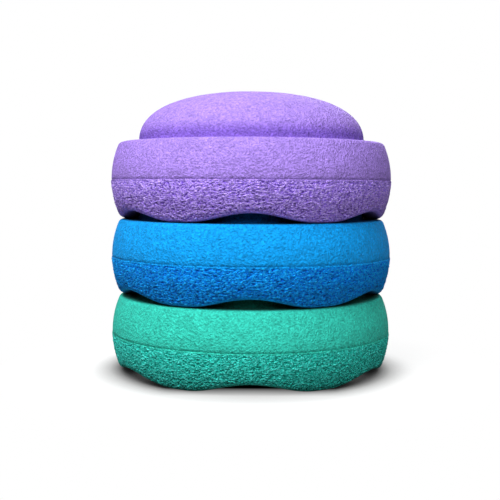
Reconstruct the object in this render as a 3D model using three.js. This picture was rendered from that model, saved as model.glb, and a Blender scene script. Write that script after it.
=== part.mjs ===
// A stack of three balance stepping stones for children. Each stone is one moulded piece of bead foam:
// a dome on a bulging ring, hollow underneath, that stands on a rim cut in waves. The dome of one stone
// sits in the hollow of the next, whose feet stand on the ledge round that dome.
// Millimetres, +Z up. The origin is on the floor, on the axis of the stack, and -Y is the front.
import * as THREE from 'three';

// The ring of a stone
const STONE_RADIUS = 137.5; // at the parting line, where the ring is widest
const PARTING_HEIGHT = 38.4; // the line where the two halves of the mould met, above the feet
const LEDGE_HEIGHT = 74.1; // the ledge that carries the next stone, above the feet
const BULGE_RADIUS = 85; // the ring's side, seen in section
const LEDGE_EDGE_RADIUS = 5; // rounds the ledge's outer edge
const FOOT_EDGE_RADIUS = 8; // rounds the rim's outer edge
const SEAM_DEPTH = 0.6; // the groove along the parting line
const SEAM_HALF_WIDTH = 0.6;

// The dome
const LEDGE_STEP = 26.7; // from the widest line in to the dome
const DOME_RISE = 49.2; // above the ledge
const DOME_ROOT = 1.5; // the bevel where the dome leaves the ledge
const DOME_POWER = 2.35; // 2 would be an ellipse, and more is fuller at the shoulder

// The wavy rim
const WAVE_COUNT = 6; // feet round the rim, with an arch between each two
const WAVE_HEIGHT = 9; // the arches above the feet
const FOOT_PAD_SHARE = 0.2; // of each wave, the share that is flat and bears on the floor

// The hollow
const WALL = 20; // behind the dome and the ledge
const NEST_CLEARANCE = 1.7; // between a dome and the rim of the hollow over it
const HOLLOW_EDGE_RADIUS = 2.5; // rounds the rim's inner edge
const HOLLOW_TAPER = 2.6; // how far the hollow's side leans in on its way up
const HOLLOW_CORNER_RADIUS = 10; // where the side meets the ceiling under the ledge
const HOLLOW_LIP_RADIUS = 6; // where that ceiling turns up under the dome

// The stack
const STACK_GAP = 0.3; // between a foot and the ledge that it stands on
const STONES = [
  { name: 'green_stone', color: 0x3ac8b6 },
  { name: 'blue_stone', color: 0x109ee7 },
  { name: 'purple_stone', color: 0xa487db },
];

// How finely the curves are divided
const COLUMNS_PER_WAVE = 10; // even, so that a column runs down the middle of each foot and each arch
const EDGE_STEPS = 3;
const SIDE_STEPS = 3;
const DOME_STEPS = 6;
const HOLLOW_EDGE_STEPS = 1;
const HOLLOW_CORNER_STEPS = 2;
const HOLLOW_DOME_STEPS = 5;

const domeRadius = STONE_RADIUS - LEDGE_STEP;
const hollowRadius = domeRadius + NEST_CLEARANCE;
const bulgeCentre = new THREE.Vector2(STONE_RADIUS - BULGE_RADIUS, PARTING_HEIGHT);
const stackPitch = LEDGE_HEIGHT + STACK_GAP;
const columns = WAVE_COUNT * COLUMNS_PER_WAVE;

// Points along an arc, both ends included. Angles are in radians from +X, which points away from the axis.
function arc(centre, radius, from, to, steps) {
  return Array.from({ length: steps + 1 }, (_, i) => {
    const angle = THREE.MathUtils.lerp(from, to, i / steps);
    return new THREE.Vector2(Math.cos(angle), Math.sin(angle)).multiplyScalar(radius).add(centre);
  });
}

// A rounded edge between the bulging side and a level face at faceHeight: its centre, and the angle on the
// bulge where the two arcs meet. side is 1 for the face on top of the ring and -1 for the one below it.
function levelEdge(radius, faceHeight, side) {
  const height = faceHeight - side * radius - bulgeCentre.y;
  const reach = Math.sqrt((BULGE_RADIUS - radius) ** 2 - height ** 2);
  const centre = new THREE.Vector2(reach, height).add(bulgeCentre);
  return { centre, bulgeAngle: Math.atan2(height, reach) };
}

// A dome's section from its root to its top: a superellipse.
function dome(radius, rise, rootHeight, steps) {
  const root = Math.asin((rootHeight / rise) ** (DOME_POWER / 2));
  return Array.from({ length: steps + 1 }, (_, i) => {
    const t = THREE.MathUtils.lerp(root, Math.PI / 2, i / steps);
    const across = i === steps ? 0 : Math.cos(t) ** (2 / DOME_POWER);
    return new THREE.Vector2(radius * across, rise * Math.sin(t) ** (2 / DOME_POWER));
  });
}

// How far the rim is lifted off the floor at an angle round the stone: nothing over each foot's pad, then
// a smooth arch. Angle 0 is the middle of an arch.
function rimLift(angle) {
  const fromFoot = Math.abs(1 - THREE.MathUtils.euclideanModulo((angle * WAVE_COUNT) / Math.PI, 2));
  const climb = Math.max(0, (fromFoot - FOOT_PAD_SHARE) / (1 - FOOT_PAD_SHARE));
  return (WAVE_HEIGHT * (1 - Math.cos(Math.PI * climb))) / 2;
}

// The hollow's section, from its top on the axis down to the rim.
function hollowOutline(rimHeight) {
  const ceiling = LEDGE_HEIGHT - WALL;
  const crownRadius = domeRadius - WALL;
  const crown = dome(crownRadius, DOME_RISE, HOLLOW_LIP_RADIUS, HOLLOW_DOME_STEPS)
    .reverse()
    .map((p) => p.add(new THREE.Vector2(0, ceiling)));
  const lipCentre = new THREE.Vector2(crownRadius + HOLLOW_LIP_RADIUS, ceiling + HOLLOW_LIP_RADIUS);
  const lip = arc(lipCentre, HOLLOW_LIP_RADIUS, Math.PI, 1.5 * Math.PI, HOLLOW_CORNER_STEPS).slice(1);
  const cornerCentre = new THREE.Vector2(
    hollowRadius - HOLLOW_TAPER - HOLLOW_CORNER_RADIUS,
    ceiling - HOLLOW_CORNER_RADIUS,
  );
  const corner = arc(cornerCentre, HOLLOW_CORNER_RADIUS, Math.PI / 2, 0, HOLLOW_CORNER_STEPS);
  const edgeCentre = new THREE.Vector2(hollowRadius + HOLLOW_EDGE_RADIUS, rimHeight + HOLLOW_EDGE_RADIUS);
  const edge = arc(edgeCentre, HOLLOW_EDGE_RADIUS, Math.PI, 1.5 * Math.PI, HOLLOW_EDGE_STEPS);
  return [...crown, ...lip, ...corner, ...edge];
}

// The ring's outside, from the rim up to the ledge, with the seam as a groove at the widest line.
function ringOutline(rimHeight) {
  const foot = levelEdge(FOOT_EDGE_RADIUS, rimHeight, -1);
  const ledge = levelEdge(LEDGE_EDGE_RADIUS, LEDGE_HEIGHT, 1);
  const seamAngle = SEAM_HALF_WIDTH / BULGE_RADIUS;
  return [
    ...arc(foot.centre, FOOT_EDGE_RADIUS, -Math.PI / 2, foot.bulgeAngle, EDGE_STEPS),
    ...arc(bulgeCentre, BULGE_RADIUS, foot.bulgeAngle, -seamAngle, SIDE_STEPS).slice(1),
    new THREE.Vector2(STONE_RADIUS - SEAM_DEPTH, PARTING_HEIGHT),
    ...arc(bulgeCentre, BULGE_RADIUS, seamAngle, ledge.bulgeAngle, SIDE_STEPS),
    ...arc(ledge.centre, LEDGE_EDGE_RADIUS, ledge.bulgeAngle, Math.PI / 2, EDGE_STEPS).slice(1),
  ];
}

// The dome's outside, from the ledge to the top.
function domeOutline() {
  const outside = dome(domeRadius, DOME_RISE, DOME_ROOT, DOME_STEPS);
  return [
    new THREE.Vector2(domeRadius + DOME_ROOT, LEDGE_HEIGHT),
    ...outside.map((p) => p.add(new THREE.Vector2(0, LEDGE_HEIGHT))),
  ];
}

// A stone's whole section at one angle, which starts and ends on the axis.
function stoneOutline(angle) {
  const rimHeight = rimLift(angle);
  return [...hollowOutline(rimHeight), ...ringOutline(rimHeight), ...domeOutline()];
}

// A lathed stone whose rim then follows its waves, one section for each column.
function stoneGeometry() {
  const geometry = new THREE.LatheGeometry(stoneOutline(0), columns);
  const position = geometry.getAttribute('position');
  for (let column = 0; column <= columns; column++) {
    const angle = (2 * Math.PI * column) / columns;
    const outline = stoneOutline(angle);
    outline.forEach((p, row) => {
      position.setXYZ(column * outline.length + row, p.x * Math.sin(angle), p.y, p.x * Math.cos(angle));
    });
  }
  geometry.rotateX(Math.PI / 2); // from the lathe's +Y up to +Z up
  geometry.computeVertexNormals();
  return geometry;
}

const stack = new THREE.Group();
STONES.forEach(({ name, color }, level) => {
  const material = new THREE.MeshStandardMaterial({ color, roughness: 0.75, metalness: 0 });
  const stone = new THREE.Mesh(stoneGeometry(), material);
  stone.name = name;
  stone.position.z = level * stackPitch;
  stack.add(stone);
});

export default stack;
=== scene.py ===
"""Three stacked balance stepping stones of moulded bead foam, on a white floor in soft studio light."""

import math

import bpy
import numpy as np
from mathutils import Matrix, Vector, noise


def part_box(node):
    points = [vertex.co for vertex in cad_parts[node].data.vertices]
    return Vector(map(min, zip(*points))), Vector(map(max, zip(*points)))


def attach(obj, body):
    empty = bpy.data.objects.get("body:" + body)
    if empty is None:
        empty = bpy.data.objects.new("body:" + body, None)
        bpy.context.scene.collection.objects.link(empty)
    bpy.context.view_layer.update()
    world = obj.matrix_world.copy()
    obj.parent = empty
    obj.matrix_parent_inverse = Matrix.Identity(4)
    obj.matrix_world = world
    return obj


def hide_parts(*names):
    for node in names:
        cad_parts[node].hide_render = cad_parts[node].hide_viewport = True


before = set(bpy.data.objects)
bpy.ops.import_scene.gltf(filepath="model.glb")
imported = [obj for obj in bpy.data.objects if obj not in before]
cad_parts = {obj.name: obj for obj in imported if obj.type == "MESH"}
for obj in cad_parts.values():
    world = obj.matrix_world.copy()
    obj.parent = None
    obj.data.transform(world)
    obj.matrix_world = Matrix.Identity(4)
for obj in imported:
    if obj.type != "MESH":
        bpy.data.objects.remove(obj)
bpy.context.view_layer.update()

MM = 0.001

# The stones, from the bottom up. The grained colour belongs to the half below the parting line.
STONES = [
    {
        "node": "green_stone",
        "body": "bottom",
        "slot": "green_foam",
        "colour": (0.043, 0.545, 0.436),
        "grained_colour": (0.032, 0.650, 0.540),
    },
    {
        "node": "blue_stone",
        "body": "middle",
        "slot": "blue_foam",
        "colour": (0.005, 0.328, 0.770),
        "grained_colour": (0.002, 0.290, 0.940),
    },
    {
        "node": "purple_stone",
        "body": "top",
        "slot": "purple_foam",
        "colour": (0.370, 0.242, 0.710),
        "grained_colour": (0.470, 0.295, 1.000),
    },
]
STACK_GAP = 0.3 * MM  # between a foot and the ledge that it stands on
GRAIN_SHIFT = 0.7  # metres from one stone's place in the noise of the relief to the next one's
FELT_SHIFT = 1  # metres, the same in the noises of the material

# The ring of a stone
PARTING_HEIGHT = 38.4 * MM  # above the feet, where the ring is widest
BULGE_RADIUS = 85 * MM  # the ring's side, seen in section
LEDGE_EDGE_RADIUS = 5 * MM
FOOT_EDGE_RADIUS = 8 * MM

# The parting line: a groove, and under it a lip that stands a little proud
SEAM_DEPTH = 0.45 * MM
SEAM_TOP = 0.3 * MM  # the groove's upper edge, above its bottom
LIP_DROP = 1.2 * MM  # the lip's edge, below the groove's bottom
LIP_HEIGHT = 0.3 * MM
LIP_REACH = 12 * MM  # below the parting line, where the side is back on its own curve
LIP_PAINTED_HIGHLIGHT = 0.3  # added to the shade on the lip: a painted highlight, which fades down the side as painted light
RIM_PAINTED_SHADE = -0.06  # added where that painted light ends, towards the rim: painted shade
LOWER_PAINTED_LIGHT_REACH = 28 * MM  # how far below the parting line that is
SEAM_PAINTED_SHADE = -0.1  # added just above the groove: painted shade, a little darker there
UPPER_PAINTED_SHADE_REACH = 16 * MM  # how far above the groove that fades out

# The dome
LEDGE_STEP = 26.7 * MM  # from the widest line in to the dome
DOME_ROOT = 1.5 * MM  # the bevel where the dome leaves the ledge
DOME_POWER = 2.35  # 2 would be an ellipse, and more is fuller at the shoulder

# The wavy rim
WAVE_COUNT = 6  # feet round the rim, with an arch between each two
WAVE_HEIGHT = 9 * MM  # the arches above the feet
FOOT_PAD_SHARE = 0.1  # of each wave, the share that is flat

# The hollow
WALL = 20 * MM  # behind the dome and the ledge
NEST_CLEARANCE = 1.7 * MM  # between a dome and the rim of the hollow over it
HOLLOW_EDGE_RADIUS = 2.5 * MM  # rounds the rim's inner edge
HOLLOW_TAPER = 2.6 * MM  # how far the hollow's side leans in on its way up
HOLLOW_CORNER_RADIUS = 10 * MM  # where the side meets the ceiling under the ledge
HOLLOW_LIP_RADIUS = 6 * MM  # where that ceiling turns up under the dome

# The moulded grain below the parting line: crests that run together in a net, with valleys between them.
# Its values are about -1 in a deep valley and 1 on a high crest.
GRAIN_LENGTH = 2.6 * MM  # along the side
GRAIN_FLATNESS = 2.2  # how much shorter it is up the side
GRAIN_HEIGHT = 1.8 * MM  # from a value of -1 to one of 1
GRAIN_SINK = 0.45 * MM  # lowers it all, so that its crests are about level with the side
GRAIN_WARP = 0.7  # how far it is drawn out of shape, in its own lengths
WARP_SHIFTS = (11.3, 23.7, 37.1)  # between the noises that warp it along the three axes
CREST_LEVEL = 0.7  # the value on a crest, without the fine grain
VALLEY_STEEPNESS = 2.6  # how fast it falls from there with the noise
FINE_GRAIN_LENGTH = 2.2 * MM  # a second noise on top
FINE_GRAIN_SHARE = 0.8
SMOOTH_BAND = 0.5 * MM  # left smooth along the rim
GRAIN_FADE = 2.5 * MM  # above the smooth band
SEAM_MARGIN = 1.2 * MM  # over which the grain sets in under the lip
WAVINESS_LENGTH = 26 * MM  # the foam's slight unevenness everywhere
WAVINESS_HEIGHT = 0.12 * MM

# The foam's finish. A depth of colour is a power that the colour is raised to: over 1 is deeper and
# under 1 is paler. A shade is what the colour is multiplied by.
NOISE_RANGE = (0.3, 0.7)  # where nearly all of a noise texture's values lie
NOISE_MIDDLE = 0.5
NOISE_DETAIL = 2
NOISE_ROUGHNESS = 0.5
FELT_LENGTH = 1.8 * MM  # the fine grain everywhere
FELT_HEIGHT = 2.3 * MM  # of the bump, for a step of 1 in the noise
FELT_ROUGHNESS = 0.6
FELT_CHANGE = 0.2  # of the shade, either way
BLOTCH_LENGTH = 3.6 * MM  # small soft patches in the shade
BLOTCH_CHANGE = 0.16
MOTTLE_LENGTH = 14 * MM  # and large ones
MOTTLE_CHANGE = 0.06
CRACKLE_LENGTH = 2.6 * MM  # the sharp lines on the coarse grain
CRACKLE_FLATNESS = 2.6  # how much shorter they are up the side
CRACKLE_DETAIL = 1
CRACKLE_HEIGHT = 9 * MM  # of the bump, for a step of 1 in the noise
CRACKLE_WIDTH = 0.12  # of a line to one side, as a step in the noise
CRACKLE_PAINTED_HIGHLIGHT_DEPTH = -0.16  # added to the depth of colour on a line, paler as a painted highlight
CRACKLE_GROUND_PAINTED_SHADE_DEPTH = 0.08  # and away from the lines, deeper as painted shade
BUMP_STRENGTH = 1
BUMP_DISTANCE = 1  # so that the bump's heights are in metres
RELIEF_RANGE = (-0.8, 0.8)  # from a valley of the coarse grain to a crest
VALLEY_PAINTED_SHADE_DEPTH = 1.4  # the depth of colour in a valley, deeper as painted shade
CREST_PAINTED_HIGHLIGHT_DEPTH = 0.77  # and on a crest, paler as a painted highlight
# Painted shade in a valley of the coarse grain, and a painted highlight on a crest
VALLEY_PAINTED_SHADE = 0.82
CREST_PAINTED_HIGHLIGHT = 1.12
# Painted shade in the crease where the dome leaves the ledge, and in the groove of the parting line
CREASE_PAINTED_SHADE_REACH = 19 * MM  # how far the painted shade reaches from the line where the dome leaves the ledge
CREASE_PAINTED_SHADE_DEPTH = 0.46  # added to the depth of colour on that line, as painted shade
CREASE_PAINTED_SHADE = 0.8
GROOVE_PAINTED_SHADE_SHARE = 0.42  # of that painted shade's depth and shade, in the groove of the parting line
CREVICE_PAINTED_SHADE_REACH = 25 * MM  # how near other foam darkens the foam's colour, as painted shade
CREVICE_PAINTED_SHADE_RANGE = (0.1, 0.62)  # the share of open sky in a deep crevice, and where the painted shade ends
CREVICE_PAINTED_SHADE = 0.15
CREVICE_SAMPLES = 8
FOAM_ROUGHNESS = 0.8
ROUGHNESS_CHANGE = 0.06
SPECULAR_LEVEL = 0.08
SHEEN_WEIGHT = 0.01
SHEEN_ROUGHNESS = 0.5

# The numbers of a Mix node's sockets for colours
MIX_FIRST = 6
MIX_SECOND = 7
MIX_RESULT = 2

# How finely the stones are divided. The grained half has the fine number of columns round it. A section's
# halvings say how many times that number is halved in each of its rows, the last one in all that are left.
FINE_COLUMNS = 1200
HOLLOW_HALVINGS = (4, 3)
HOLLOW_END_HALVINGS = (2, 1)
GRAINED_HALVINGS = (0,)
SEAM_TOP_HALVINGS = (1,)
UPPER_HALVINGS = (2,)
DOME_END_HALVINGS = (3, 4)
CROWN_STEPS = 12
LIP_STEPS = 3
CORNER_STEPS = 4
SIDE_STEPS = 4
INNER_EDGE_STEPS = 3
FOOT_EDGE_STEPS = 13
LOWER_SIDE_STEPS = 50
UPPER_SIDE_STEPS = 16
LEDGE_EDGE_STEPS = 6
LEDGE_STEPS = 4
DOME_STEPS = 26

# The floor. What the camera sees of it is lit by the lamps and by a glow of its own, which together
# make it white, and both darken close to the stones in a painted shadow. Distances are from the
# axis of the stack.
FLOOR_SIZE = 12  # metres
WHITE = (1, 1, 1, 1)
FLOOR_COLOUR = 0.25
FLOOR_GLOW = 0.75
FLOOR_BOUNCE_COLOUR = 0.22  # for light that goes on from the floor to the stones
CONTACT_PAINTED_SHADOW_REACH = 40 * MM  # how near the stones darken the floor, as a painted shadow
CONTACT_PAINTED_SHADOW_RANGE = (0.12, 1)  # the share of open sky at the darkest, and where the painted shadow ends
CONTACT_PAINTED_SHADOW = 0.03
CONTACT_SAMPLES = 16
UNDER_PAINTED_SHADOW_RANGE = (110 * MM, 140 * MM)  # the glow sets in between these, so that none is under the stones: a painted shadow
FRONT_PAINTED_LIGHT_RANGE = (100 * MM, 130 * MM)  # but painted light from the front reaches in under the front arch
FRONT_PAINTED_LIGHT = 0.85
FADE_RANGE = (150 * MM, 250 * MM)  # where the floor turns into the white background

# The lights: how far each stands to the right of the front and up from level, in degrees, and its watts.
# The one at the back lights what the photograph's camera doesn't see.
LAMPS = {
    "key": (-36, 50, 29),
    "fill": (10, 28, 16),
    "top": (0, 90, 4),
    "left": (-85, 30, 4),
    "right": (78, 32, 0.8),
    "back": (165, 30, 16),
}
LAMP_TARGET = Vector((0, 0, 130 * MM))
LAMP_DISTANCE = 1.6  # metres
LAMP_SIZE = 0.9  # metres across
AMBIENT = 0.03  # the strength of the world's own light on the stones

# The camera of the photograph
IMAGE_SIZE = 500
FOCAL_PIXELS = 871
OPTICAL_AXIS_X = 250.9  # the image column on the camera's axis
CAMERA_DISTANCE = 871 * MM
CAMERA_HEIGHT = 180.7 * MM
CAMERA_TILT = math.radians(4.18)
CAMERA_ROLL = math.radians(0.27)
SENSOR_WIDTH = 36  # millimetres

lowest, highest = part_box(STONES[0]["node"])
stone_radius = highest.x
stack_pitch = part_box(STONES[1]["node"])[0].z - lowest.z
ledge_height = stack_pitch - STACK_GAP
dome_rise = highest.z - ledge_height
dome_radius = stone_radius - LEDGE_STEP
hollow_radius = dome_radius + NEST_CLEARANCE
bulge_centre = (stone_radius - BULGE_RADIUS, PARTING_HEIGHT)


def smooth_step(value, low, high):
    share = np.clip((value - low) / (high - low), 0, 1)
    return share * share * (3 - 2 * share)


# Points of a section are pairs of distance from the axis and height. Either may be an array with a value
# for each column round the stone.
def arc(centre, radius, start, end, steps):
    angles = [start + (end - start) * i / steps for i in range(steps + 1)]
    return [(centre[0] + radius * np.cos(a), centre[1] + radius * np.sin(a)) for a in angles]


def line(start, end, steps):
    """Points between two points, both left out."""
    shares = [i / steps for i in range(1, steps)]
    return [(start[0] + (end[0] - start[0]) * s, start[1] + (end[1] - start[1]) * s) for s in shares]


def level_edge(radius, face_height, side):
    """The centre of the round between the bulge and a level face, and the angle where they meet."""
    height = face_height - side * radius - bulge_centre[1]
    reach = np.sqrt((BULGE_RADIUS - radius) ** 2 - height**2)
    return (reach + bulge_centre[0], height + bulge_centre[1]), np.arctan2(height, reach)


def dome_curve(radius, root_height, base, steps):
    """A dome's section from its root to just before its top."""
    root = math.asin((root_height / dome_rise) ** (DOME_POWER / 2))
    angles = [root + (math.pi / 2 - root) * i / steps for i in range(steps)]
    power = 2 / DOME_POWER
    return [(radius * math.cos(t) ** power, base + dome_rise * math.sin(t) ** power) for t in angles]


def rim_lift(angle):
    """How far the rim is off the floor, at angles round the stone from the middle of an arch."""
    from_foot = np.abs(1 - np.mod(angle * WAVE_COUNT / math.pi, 2))
    climb = np.maximum(0, (from_foot - FOOT_PAD_SHARE) / (1 - FOOT_PAD_SHARE))
    return WAVE_HEIGHT * (1 - np.cos(math.pi * climb)) / 2


def hollow_section(rim):
    ceiling = ledge_height - WALL
    crown_radius = dome_radius - WALL
    crown = dome_curve(crown_radius, HOLLOW_LIP_RADIUS, ceiling, CROWN_STEPS)[::-1]
    lip_centre = (crown_radius + HOLLOW_LIP_RADIUS, ceiling + HOLLOW_LIP_RADIUS)
    lip = arc(lip_centre, HOLLOW_LIP_RADIUS, math.pi, 1.5 * math.pi, LIP_STEPS)[1:]
    corner_centre = (
        hollow_radius - HOLLOW_TAPER - HOLLOW_CORNER_RADIUS,
        ceiling - HOLLOW_CORNER_RADIUS,
    )
    corner = arc(corner_centre, HOLLOW_CORNER_RADIUS, math.pi / 2, 0, CORNER_STEPS)
    edge_centre = (hollow_radius + HOLLOW_EDGE_RADIUS, rim + HOLLOW_EDGE_RADIUS)
    edge = arc(edge_centre, HOLLOW_EDGE_RADIUS, math.pi, 1.5 * math.pi, INNER_EDGE_STEPS)
    return crown + lip + corner + line(corner[-1], edge[0], SIDE_STEPS) + edge


def lip_share(height):
    """1 on the lip's edge and 0 where the side is back on its own curve."""
    return smooth_step(height, PARTING_HEIGHT - LIP_REACH, PARTING_HEIGHT - LIP_DROP)


def lower_painted_light(height):
    """Painted light added to the shade below the parting line: most on the lip, and less down the side."""
    share = smooth_step(height, PARTING_HEIGHT - LOWER_PAINTED_LIGHT_REACH, PARTING_HEIGHT - LIP_DROP)
    return RIM_PAINTED_SHADE + (LIP_PAINTED_HIGHLIGHT - RIM_PAINTED_SHADE) * share


def upper_painted_shade(height):
    """The painted shade added to the shade above the parting line."""
    return SEAM_PAINTED_SHADE * (1 - smooth_step(height, PARTING_HEIGHT, PARTING_HEIGHT + UPPER_PAINTED_SHADE_REACH))


def no_painted_light(height):
    return np.zeros(len(height))


def lower_section(rim):
    """The grained side, from the rim up to the lip, which it swells out to."""
    foot, foot_angle = level_edge(FOOT_EDGE_RADIUS, rim, -1)
    edge = arc(foot, FOOT_EDGE_RADIUS, -math.pi / 2, foot_angle, FOOT_EDGE_STEPS)
    side = arc(bulge_centre, BULGE_RADIUS, foot_angle, -LIP_DROP / BULGE_RADIUS, LOWER_SIDE_STEPS)[1:]
    return edge + [(reach + LIP_HEIGHT * lip_share(height), height) for reach, height in side]


def seam_section():
    """The groove of the parting line, from its bottom to its upper edge."""
    top_angle = SEAM_TOP / BULGE_RADIUS
    top = (bulge_centre[0] + BULGE_RADIUS * math.cos(top_angle), bulge_centre[1] + SEAM_TOP)
    return [(stone_radius - SEAM_DEPTH, PARTING_HEIGHT), top]


def upper_section():
    ledge, ledge_angle = level_edge(LEDGE_EDGE_RADIUS, ledge_height, 1)
    side = arc(bulge_centre, BULGE_RADIUS, SEAM_TOP / BULGE_RADIUS, ledge_angle, UPPER_SIDE_STEPS)[1:]
    edge = arc(ledge, LEDGE_EDGE_RADIUS, ledge_angle, math.pi / 2, LEDGE_EDGE_STEPS)[1:]
    root = (dome_radius + DOME_ROOT, ledge_height)
    return side + edge + line(edge[-1], root, LEDGE_STEPS) + [root]


def dome_section():
    return dome_curve(dome_radius, DOME_ROOT, ledge_height, DOME_STEPS)


def coarse_share(height, rim):
    """How coarse the grain is: 1 on the lower half, and 0 at its two edges."""
    over_rim = smooth_step(height - rim, SMOOTH_BAND, SMOOTH_BAND + GRAIN_FADE)
    return over_rim * smooth_step(PARTING_HEIGHT - LIP_DROP - height, 0, SEAM_MARGIN)


def painted_crease_shade_share(reach, height):
    """Painted shade of the crease at the dome's root: from 1 on its line to 0 away from it."""
    distance = np.hypot(reach - dome_radius - DOME_ROOT, height - ledge_height)
    return 1 - smooth_step(distance, 0, CREASE_PAINTED_SHADE_REACH)


def section_rows(section, halvings, angle, rim, grained=False, groove=False, painted_light=no_painted_light):
    """A section's rows of vertices: points, grain and painted crease shade shares, painted light and
    shade.
    """
    rows = []
    for number, (reach, height) in enumerate(section):
        step = 2 ** halvings[min(number, len(halvings) - 1)]
        reach = np.broadcast_to(reach, angle.shape)[::step]
        height = np.broadcast_to(height, angle.shape)[::step]
        turn = angle[::step]
        row = {
            "points": np.stack([reach * np.sin(turn), -reach * np.cos(turn), height], axis=1),
            "coarse": coarse_share(height, rim[::step]) if grained else np.zeros(len(turn)),
            "painted_crease_shade": painted_crease_shade_share(reach, height) + GROOVE_PAINTED_SHADE_SHARE * groove,
            "painted_light": painted_light(height),
        }
        rows.append(row)
    return rows


def stone_rows():
    """Every row of a stone, from the top of its hollow down to the rim and up to the top of its dome."""
    angle = np.arange(FINE_COLUMNS) * 2 * math.pi / FINE_COLUMNS
    rim = rim_lift(angle)
    hollow = hollow_section(rim)
    lower = lower_section(rim)
    groove, seam_top = seam_section()
    dome = dome_section()
    return [
        *section_rows(hollow[:-2], HOLLOW_HALVINGS, angle, rim),
        *section_rows(hollow[-2:], HOLLOW_END_HALVINGS, angle, rim),
        *section_rows(lower, GRAINED_HALVINGS, angle, rim, grained=True, painted_light=lower_painted_light),
        *section_rows([groove], GRAINED_HALVINGS, angle, rim, groove=True),
        *section_rows([seam_top], SEAM_TOP_HALVINGS, angle, rim, painted_light=upper_painted_shade),
        *section_rows(upper_section(), UPPER_HALVINGS, angle, rim, painted_light=upper_painted_shade),
        *section_rows(dome[:-2], UPPER_HALVINGS, angle, rim),
        *section_rows(dome[-2:], DOME_END_HALVINGS, angle, rim),
    ]


def join_rows(first, first_count, second, second_count):
    """Faces between two rows of vertices, one of which may have twice the columns of the other.

    first and second are the numbers of the rows' first vertices. Rows of the same length are joined by
    squares. Otherwise each two neighbours in one row and three in the other are joined by three triangles.
    """
    i = np.arange(min(first_count, second_count))
    if first_count == second_count:
        j = (i + 1) % first_count
        return np.stack([first + i, first + j, second + j, second + i], axis=1).tolist()
    if first_count > second_count:
        a, b, c = first + 2 * i, first + 2 * i + 1, first + (2 * i + 2) % first_count
        d, e = second + i, second + (i + 1) % second_count
        triangles = [(a, b, d), (b, e, d), (b, c, e)]
    else:
        a, b = first + i, first + (i + 1) % first_count
        c, d, e = second + 2 * i, second + 2 * i + 1, second + (2 * i + 2) % second_count
        triangles = [(a, d, c), (a, b, d), (b, e, d)]
    return [face for corners in triangles for face in np.stack(corners, axis=1).tolist()]


def stone_shape():
    """A stone's points and faces, and the values that its vertices carry."""
    rows = stone_rows()
    crown_top = [[0, 0, ledge_height - WALL + dome_rise]]
    dome_top = [[0, 0, ledge_height + dome_rise]]
    points = np.concatenate([crown_top, *(row["points"] for row in rows), dome_top])
    carried = {}
    for name in ("coarse", "painted_crease_shade", "painted_light"):
        carried[name] = np.concatenate([[0], *(row[name] for row in rows), [0]])

    counts = [len(row["points"]) for row in rows]
    starts = [1 + sum(counts[:k]) for k in range(len(rows))]
    last = 1 + sum(counts)
    faces = [(0, starts[0] + (i + 1) % counts[0], starts[0] + i) for i in range(counts[0])]
    for k in range(len(rows) - 1):
        faces += join_rows(starts[k], counts[k], starts[k + 1], counts[k + 1])
    faces += [(starts[-1] + i, starts[-1] + (i + 1) % counts[-1], last) for i in range(counts[-1])]
    return points, faces, carried


def grain(point):
    """The height of the coarse grain at a point, about -1 to 1."""
    point = Vector((point.x, point.y, point.z * GRAIN_FLATNESS))
    place = point / GRAIN_LENGTH
    warp = Vector([noise.noise(place + Vector((shift, shift, shift))) for shift in WARP_SHIFTS])
    warped = place + GRAIN_WARP * warp
    crest = CREST_LEVEL - VALLEY_STEEPNESS * abs(noise.noise(warped))
    return crest + FINE_GRAIN_SHARE * noise.noise(point / FINE_GRAIN_LENGTH)


def vertex_vectors(collection, name):
    """A vector of every vertex, as the rows of an array."""
    numbers = np.empty(len(collection) * 3)
    collection.foreach_get(name, numbers)
    return numbers.reshape(-1, 3)


def raise_grain(mesh, coarse, shift):
    """Moves the vertices along their normals by the grain and by the foam's slight unevenness."""
    places = vertex_vectors(mesh.vertices, "co")
    normals = vertex_vectors(mesh.vertex_normals, "vector")
    offset = Vector((shift, shift, shift))
    relief = np.zeros(len(places))
    for i in np.nonzero(coarse > 0)[0]:
        relief[i] = coarse[i] * grain(Vector(places[i]) + offset)
    wave = np.array([noise.noise((Vector(p) + offset) / WAVINESS_LENGTH) for p in places])
    height = relief * GRAIN_HEIGHT / 2 - coarse * GRAIN_SINK + wave * WAVINESS_HEIGHT
    mesh.vertices.foreach_set("co", (places + normals * height[:, None]).ravel())
    return relief


def make_stone(stone, level, points, faces, carried):
    mesh = bpy.data.meshes.new(stone["node"] + "_mesh")
    mesh.from_pydata(points.tolist(), [], faces)
    relief = raise_grain(mesh, carried["coarse"], level * GRAIN_SHIFT)
    for name, values in {**carried, "relief": relief}.items():
        layer = mesh.attributes.new(name, "FLOAT", "POINT")
        layer.data.foreach_set("value", values.astype(np.float32))
    mesh.shade_smooth()
    mesh.update()
    mesh.materials.append(foam(stone, level * FELT_SHIFT))
    piece = bpy.data.objects.new(stone["node"] + "_foam", mesh)
    piece.location.z = level * stack_pitch
    bpy.context.scene.collection.objects.link(piece)
    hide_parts(stone["node"])
    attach(piece, stone["body"])


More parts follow.
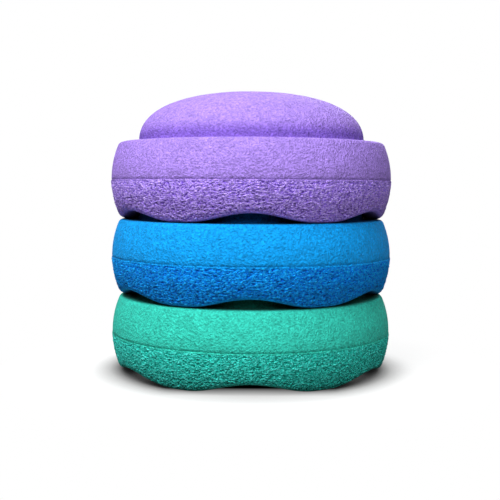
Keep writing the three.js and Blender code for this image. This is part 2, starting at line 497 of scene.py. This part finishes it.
class Nodes:
    """Adds nodes to a material or a world, and links them."""

    def __init__(self, owner):
        owner.use_nodes = True
        self.tree = owner.node_tree
        self.tree.nodes.clear()

    def add(self, kind, inputs=None, **settings):
        node = self.tree.nodes.new(kind)
        for key, value in settings.items():
            setattr(node, key, value)
        for key, value in (inputs or {}).items():
            if isinstance(value, bpy.types.NodeSocket):
                self.tree.links.new(value, node.inputs[key])
            else:
                node.inputs[key].default_value = value
        return node

    def math(self, operation, first, second=0):
        return self.add("ShaderNodeMath", {0: first, 1: second}, operation=operation).outputs[0]

    def vector(self, operation, first, second):
        return self.add("ShaderNodeVectorMath", {0: first, 1: second}, operation=operation).outputs[0]

    def attribute(self, name):
        return self.add("ShaderNodeAttribute", attribute_name=name).outputs["Fac"]

    def noise(self, place, length, detail=NOISE_DETAIL, roughness=NOISE_ROUGHNESS):
        inputs = {"Vector": place, "Scale": 1 / length, "Detail": detail, "Roughness": roughness}
        return self.add("ShaderNodeTexNoise", inputs).outputs["Fac"]

    def remap(self, value, start, end, ease="LINEAR"):
        """Takes a value from one range to another, and no further."""
        inputs = {"Value": value, "From Min": start[0], "From Max": start[1]}
        inputs.update({"To Min": end[0], "To Max": end[1]})
        return self.add("ShaderNodeMapRange", inputs, interpolation_type=ease).outputs["Result"]

    def vary(self, noise_value, middle, change):
        """A value that a noise moves up and down by so much."""
        return self.remap(noise_value, NOISE_RANGE, (middle - change, middle + change))

    def open_sky(self, reach, samples):
        """The share of the sky over a point that nothing within reach covers."""
        return self.add("ShaderNodeAmbientOcclusion", {"Distance": reach}, samples=samples).outputs["AO"]


def foam_shade(n, place, felt, painted_crease_shade):
    """What the colour is multiplied by: random tone, and painted shade and highlights."""
    shade = n.vary(felt, 1, FELT_CHANGE)
    shade = n.math("MULTIPLY", shade, n.vary(n.noise(place, BLOTCH_LENGTH), 1, BLOTCH_CHANGE))
    shade = n.math("MULTIPLY", shade, n.vary(n.noise(place, MOTTLE_LENGTH), 1, MOTTLE_CHANGE))
    # Painted shade in the grain's valleys and a painted highlight on its crests
    relief = n.attribute("relief")
    shade = n.math("MULTIPLY", shade, n.remap(relief, RELIEF_RANGE, (VALLEY_PAINTED_SHADE, CREST_PAINTED_HIGHLIGHT)))
    # Painted shade in the crease at the dome's root and in the groove
    shade = n.math("MULTIPLY", shade, n.remap(painted_crease_shade, (0, 1), (1, CREASE_PAINTED_SHADE)))
    # Painted light on the lip and down the lower side, and painted shade by the rim and above the groove
    shade = n.math("MULTIPLY", shade, n.math("ADD", n.attribute("painted_light"), 1))
    # Painted shade in the colour wherever other foam is near
    openness = n.open_sky(CREVICE_PAINTED_SHADE_REACH, CREVICE_SAMPLES)
    return n.math("MULTIPLY", shade, n.remap(openness, CREVICE_PAINTED_SHADE_RANGE, (CREVICE_PAINTED_SHADE, 1)))


def foam_depth(n, coarse, ridge, painted_crease_shade):
    """The power that the colour is raised to: deeper for painted shade, paler for painted highlights."""
    # Deeper in the grain's valleys as painted shade, paler on its crests as a painted highlight
    depth = n.remap(n.attribute("relief"), RELIEF_RANGE, (VALLEY_PAINTED_SHADE_DEPTH, CREST_PAINTED_HIGHLIGHT_DEPTH))
    # Paler on the sharp lines as a painted highlight, deeper between them as painted shade
    crackle = n.remap(ridge, (0, CRACKLE_WIDTH), (CRACKLE_PAINTED_HIGHLIGHT_DEPTH, CRACKLE_GROUND_PAINTED_SHADE_DEPTH))
    depth = n.math("ADD", depth, n.math("MULTIPLY", crackle, coarse))
    # Deeper in the crease and the groove, as painted shade
    return n.math("ADD", depth, n.math("MULTIPLY", painted_crease_shade, CREASE_PAINTED_SHADE_DEPTH))


def foam_ridge(n, place):
    """How far a point is from the nearest sharp line of the coarse grain, as a step in the noise."""
    flattened = n.vector("MULTIPLY", place, (1, 1, CRACKLE_FLATNESS))
    fold = n.noise(flattened, CRACKLE_LENGTH, CRACKLE_DETAIL)
    return n.math("ABSOLUTE", n.math("SUBTRACT", fold, NOISE_MIDDLE))


def foam_colour(n, stone, place, felt, coarse, ridge):
    """The stone's own colour, made deeper or paler and then shaded, partly with painted light and shade.
    """
    colours = {
        "Factor": coarse,
        MIX_FIRST: (*stone["colour"], 1),
        MIX_SECOND: (*stone["grained_colour"], 1),
    }
    colour = n.add("ShaderNodeMix", colours, data_type="RGBA").outputs[MIX_RESULT]
    painted_crease_shade = n.attribute("painted_crease_shade")
    deepened = {"Color": colour, "Gamma": foam_depth(n, coarse, ridge, painted_crease_shade)}
    colour = n.add("ShaderNodeGamma", deepened).outputs["Color"]
    shaded = {0: colour, "Scale": foam_shade(n, place, felt, painted_crease_shade)}
    return n.add("ShaderNodeVectorMath", shaded, operation="SCALE").outputs["Vector"]


def foam_bump(n, felt, coarse, ridge):
    """The fine grain everywhere, and the sharp lines where the grain is coarse."""
    crackle = n.math("MULTIPLY", n.math("MULTIPLY", ridge, coarse), -CRACKLE_HEIGHT)
    height = n.math("ADD", n.math("MULTIPLY", felt, FELT_HEIGHT), crackle)
    inputs = {"Height": height, "Strength": BUMP_STRENGTH, "Distance": BUMP_DISTANCE}
    return n.add("ShaderNodeBump", inputs).outputs["Normal"]


def foam(stone, shift):
    """Moulded bead foam: soft fine grain above the parting line and a coarse one below it."""
    material = bpy.data.materials.new(stone["slot"])
    n = Nodes(material)
    place = n.add("ShaderNodeTexCoord").outputs["Object"]
    place = n.vector("ADD", place, (shift, shift, shift))
    coarse = n.attribute("coarse")
    felt = n.noise(place, FELT_LENGTH, roughness=FELT_ROUGHNESS)
    ridge = foam_ridge(n, place)
    inputs = {
        "Base Color": foam_colour(n, stone, place, felt, coarse, ridge),
        "Roughness": n.vary(felt, FOAM_ROUGHNESS, ROUGHNESS_CHANGE),
        "Normal": foam_bump(n, felt, coarse, ridge),
        "Specular IOR Level": SPECULAR_LEVEL,
        "Sheen Weight": SHEEN_WEIGHT,
        "Sheen Roughness": SHEEN_ROUGHNESS,
    }
    surface = n.add("ShaderNodeBsdfPrincipled", inputs)
    n.add("ShaderNodeOutputMaterial", {"Surface": surface.outputs["BSDF"]})
    return material


def seen_rays(n):
    """1 for rays that show the backdrop: from the camera, in a reflection or through glass."""
    path = n.add("ShaderNodeLightPath").outputs
    seen = n.math("MAXIMUM", path["Is Camera Ray"], path["Is Glossy Ray"])
    return n.math("MAXIMUM", seen, path["Is Transmission Ray"])


def floor_glow(n, place, away, contact_painted_shadow):
    """The glow's strength: none under the stones, a painted shadow, except for painted light from the
    front.
    """
    outside = n.math("MULTIPLY", contact_painted_shadow, n.remap(away, UNDER_PAINTED_SHADOW_RANGE, (0, 1)))
    to_the_front = n.math("MULTIPLY", n.add("ShaderNodeSeparateXYZ", {0: place}).outputs["Y"], -1)
    # Painted light on the floor under the front arch
    painted_front_light = n.remap(to_the_front, FRONT_PAINTED_LIGHT_RANGE, (0, FRONT_PAINTED_LIGHT))
    return n.math("MULTIPLY", n.math("MAXIMUM", outside, painted_front_light), FLOOR_GLOW)


def floor_material():
    """White, with the stones' shadow from the lamps and a painted one. It fades to pure white away from
    them.
    """
    material = bpy.data.materials.new("floor")
    n = Nodes(material)
    place = n.add("ShaderNodeTexCoord").outputs["Object"]
    away = n.add("ShaderNodeVectorMath", {0: place}, operation="LENGTH").outputs["Value"]
    seen = seen_rays(n)
    # A painted contact shadow: the floor's colour and glow darken where the stones cover its sky
    openness = n.open_sky(CONTACT_PAINTED_SHADOW_REACH, CONTACT_SAMPLES)
    contact_painted_shadow = n.remap(openness, CONTACT_PAINTED_SHADOW_RANGE, (CONTACT_PAINTED_SHADOW, 1), ease="SMOOTHSTEP")
    tone = n.remap(seen, (0, 1), (FLOOR_BOUNCE_COLOUR, n.math("MULTIPLY", contact_painted_shadow, FLOOR_COLOUR)))
    matte = n.add("ShaderNodeBsdfDiffuse", {"Color": tone})
    strength = n.math("MULTIPLY", floor_glow(n, place, away, contact_painted_shadow), seen)
    glow = n.add("ShaderNodeEmission", {"Color": WHITE, "Strength": strength})
    floor = n.add("ShaderNodeAddShader", {0: matte.outputs[0], 1: glow.outputs[0]})
    white = n.add("ShaderNodeEmission", {"Color": WHITE, "Strength": 1})
    share = n.math("MULTIPLY", n.remap(away, FADE_RANGE, (0, 1)), seen)
    mix = n.add("ShaderNodeMixShader", {0: share, 1: floor.outputs[0], 2: white.outputs[0]})
    n.add("ShaderNodeOutputMaterial", {"Surface": mix.outputs[0]})
    return material


def make_floor():
    half = FLOOR_SIZE / 2
    corners = [(-half, -half, 0), (half, -half, 0), (half, half, 0), (-half, half, 0)]
    mesh = bpy.data.meshes.new("floor")
    mesh.from_pydata(corners, [], [(0, 1, 2, 3)])
    mesh.materials.append(floor_material())
    floor = bpy.data.objects.new("floor", mesh)
    bpy.context.scene.collection.objects.link(floor)


def make_world():
    """White where the backdrop is seen, and a weak even light on the stones."""
    world = bpy.data.worlds.new("studio")
    n = Nodes(world)
    strength = n.remap(seen_rays(n), (0, 1), (AMBIENT, 1))
    background = n.add("ShaderNodeBackground", {"Color": WHITE, "Strength": strength})
    n.add("ShaderNodeOutputWorld", {0: background.outputs[0]})
    bpy.context.scene.world = world


def make_softbox(name, to_the_right, up, watts):
    """A round soft light that points at the stones."""
    data = bpy.data.lights.new(name, "AREA")
    data.shape = "DISK"
    data.size = LAMP_SIZE
    data.energy = watts
    lamp = bpy.data.objects.new(name, data)
    turn = math.radians(to_the_right)
    rise = math.radians(up)
    way = Vector((math.sin(turn) * math.cos(rise), -math.cos(turn) * math.cos(rise), math.sin(rise)))
    lamp.location = LAMP_TARGET + LAMP_DISTANCE * way
    lamp.rotation_euler = (-way).to_track_quat("-Z", "Y").to_euler()
    bpy.context.scene.collection.objects.link(lamp)


def make_camera():
    data = bpy.data.cameras.new("camera")
    data.sensor_width = SENSOR_WIDTH
    data.lens = FOCAL_PIXELS * SENSOR_WIDTH / IMAGE_SIZE
    data.shift_x = (IMAGE_SIZE / 2 - OPTICAL_AXIS_X) / IMAGE_SIZE
    camera = bpy.data.objects.new("camera", data)
    turn = Matrix.Rotation(math.pi / 2 - CAMERA_TILT, 4, "X") @ Matrix.Rotation(CAMERA_ROLL, 4, "Z")
    camera.matrix_world = Matrix.Translation((0, -CAMERA_DISTANCE, CAMERA_HEIGHT)) @ turn
    bpy.context.scene.collection.objects.link(camera)
    bpy.context.scene.camera = camera


points, faces, carried = stone_shape()
for level, stone in enumerate(STONES):
    make_stone(stone, level, points, faces, carried)
make_floor()
make_world()
for name, (to_the_right, up, watts) in LAMPS.items():
    make_softbox(name, to_the_right, up, watts)
make_camera()
bpy.context.scene.view_settings.view_transform = "Standard"

bpy.context.view_layer.update()
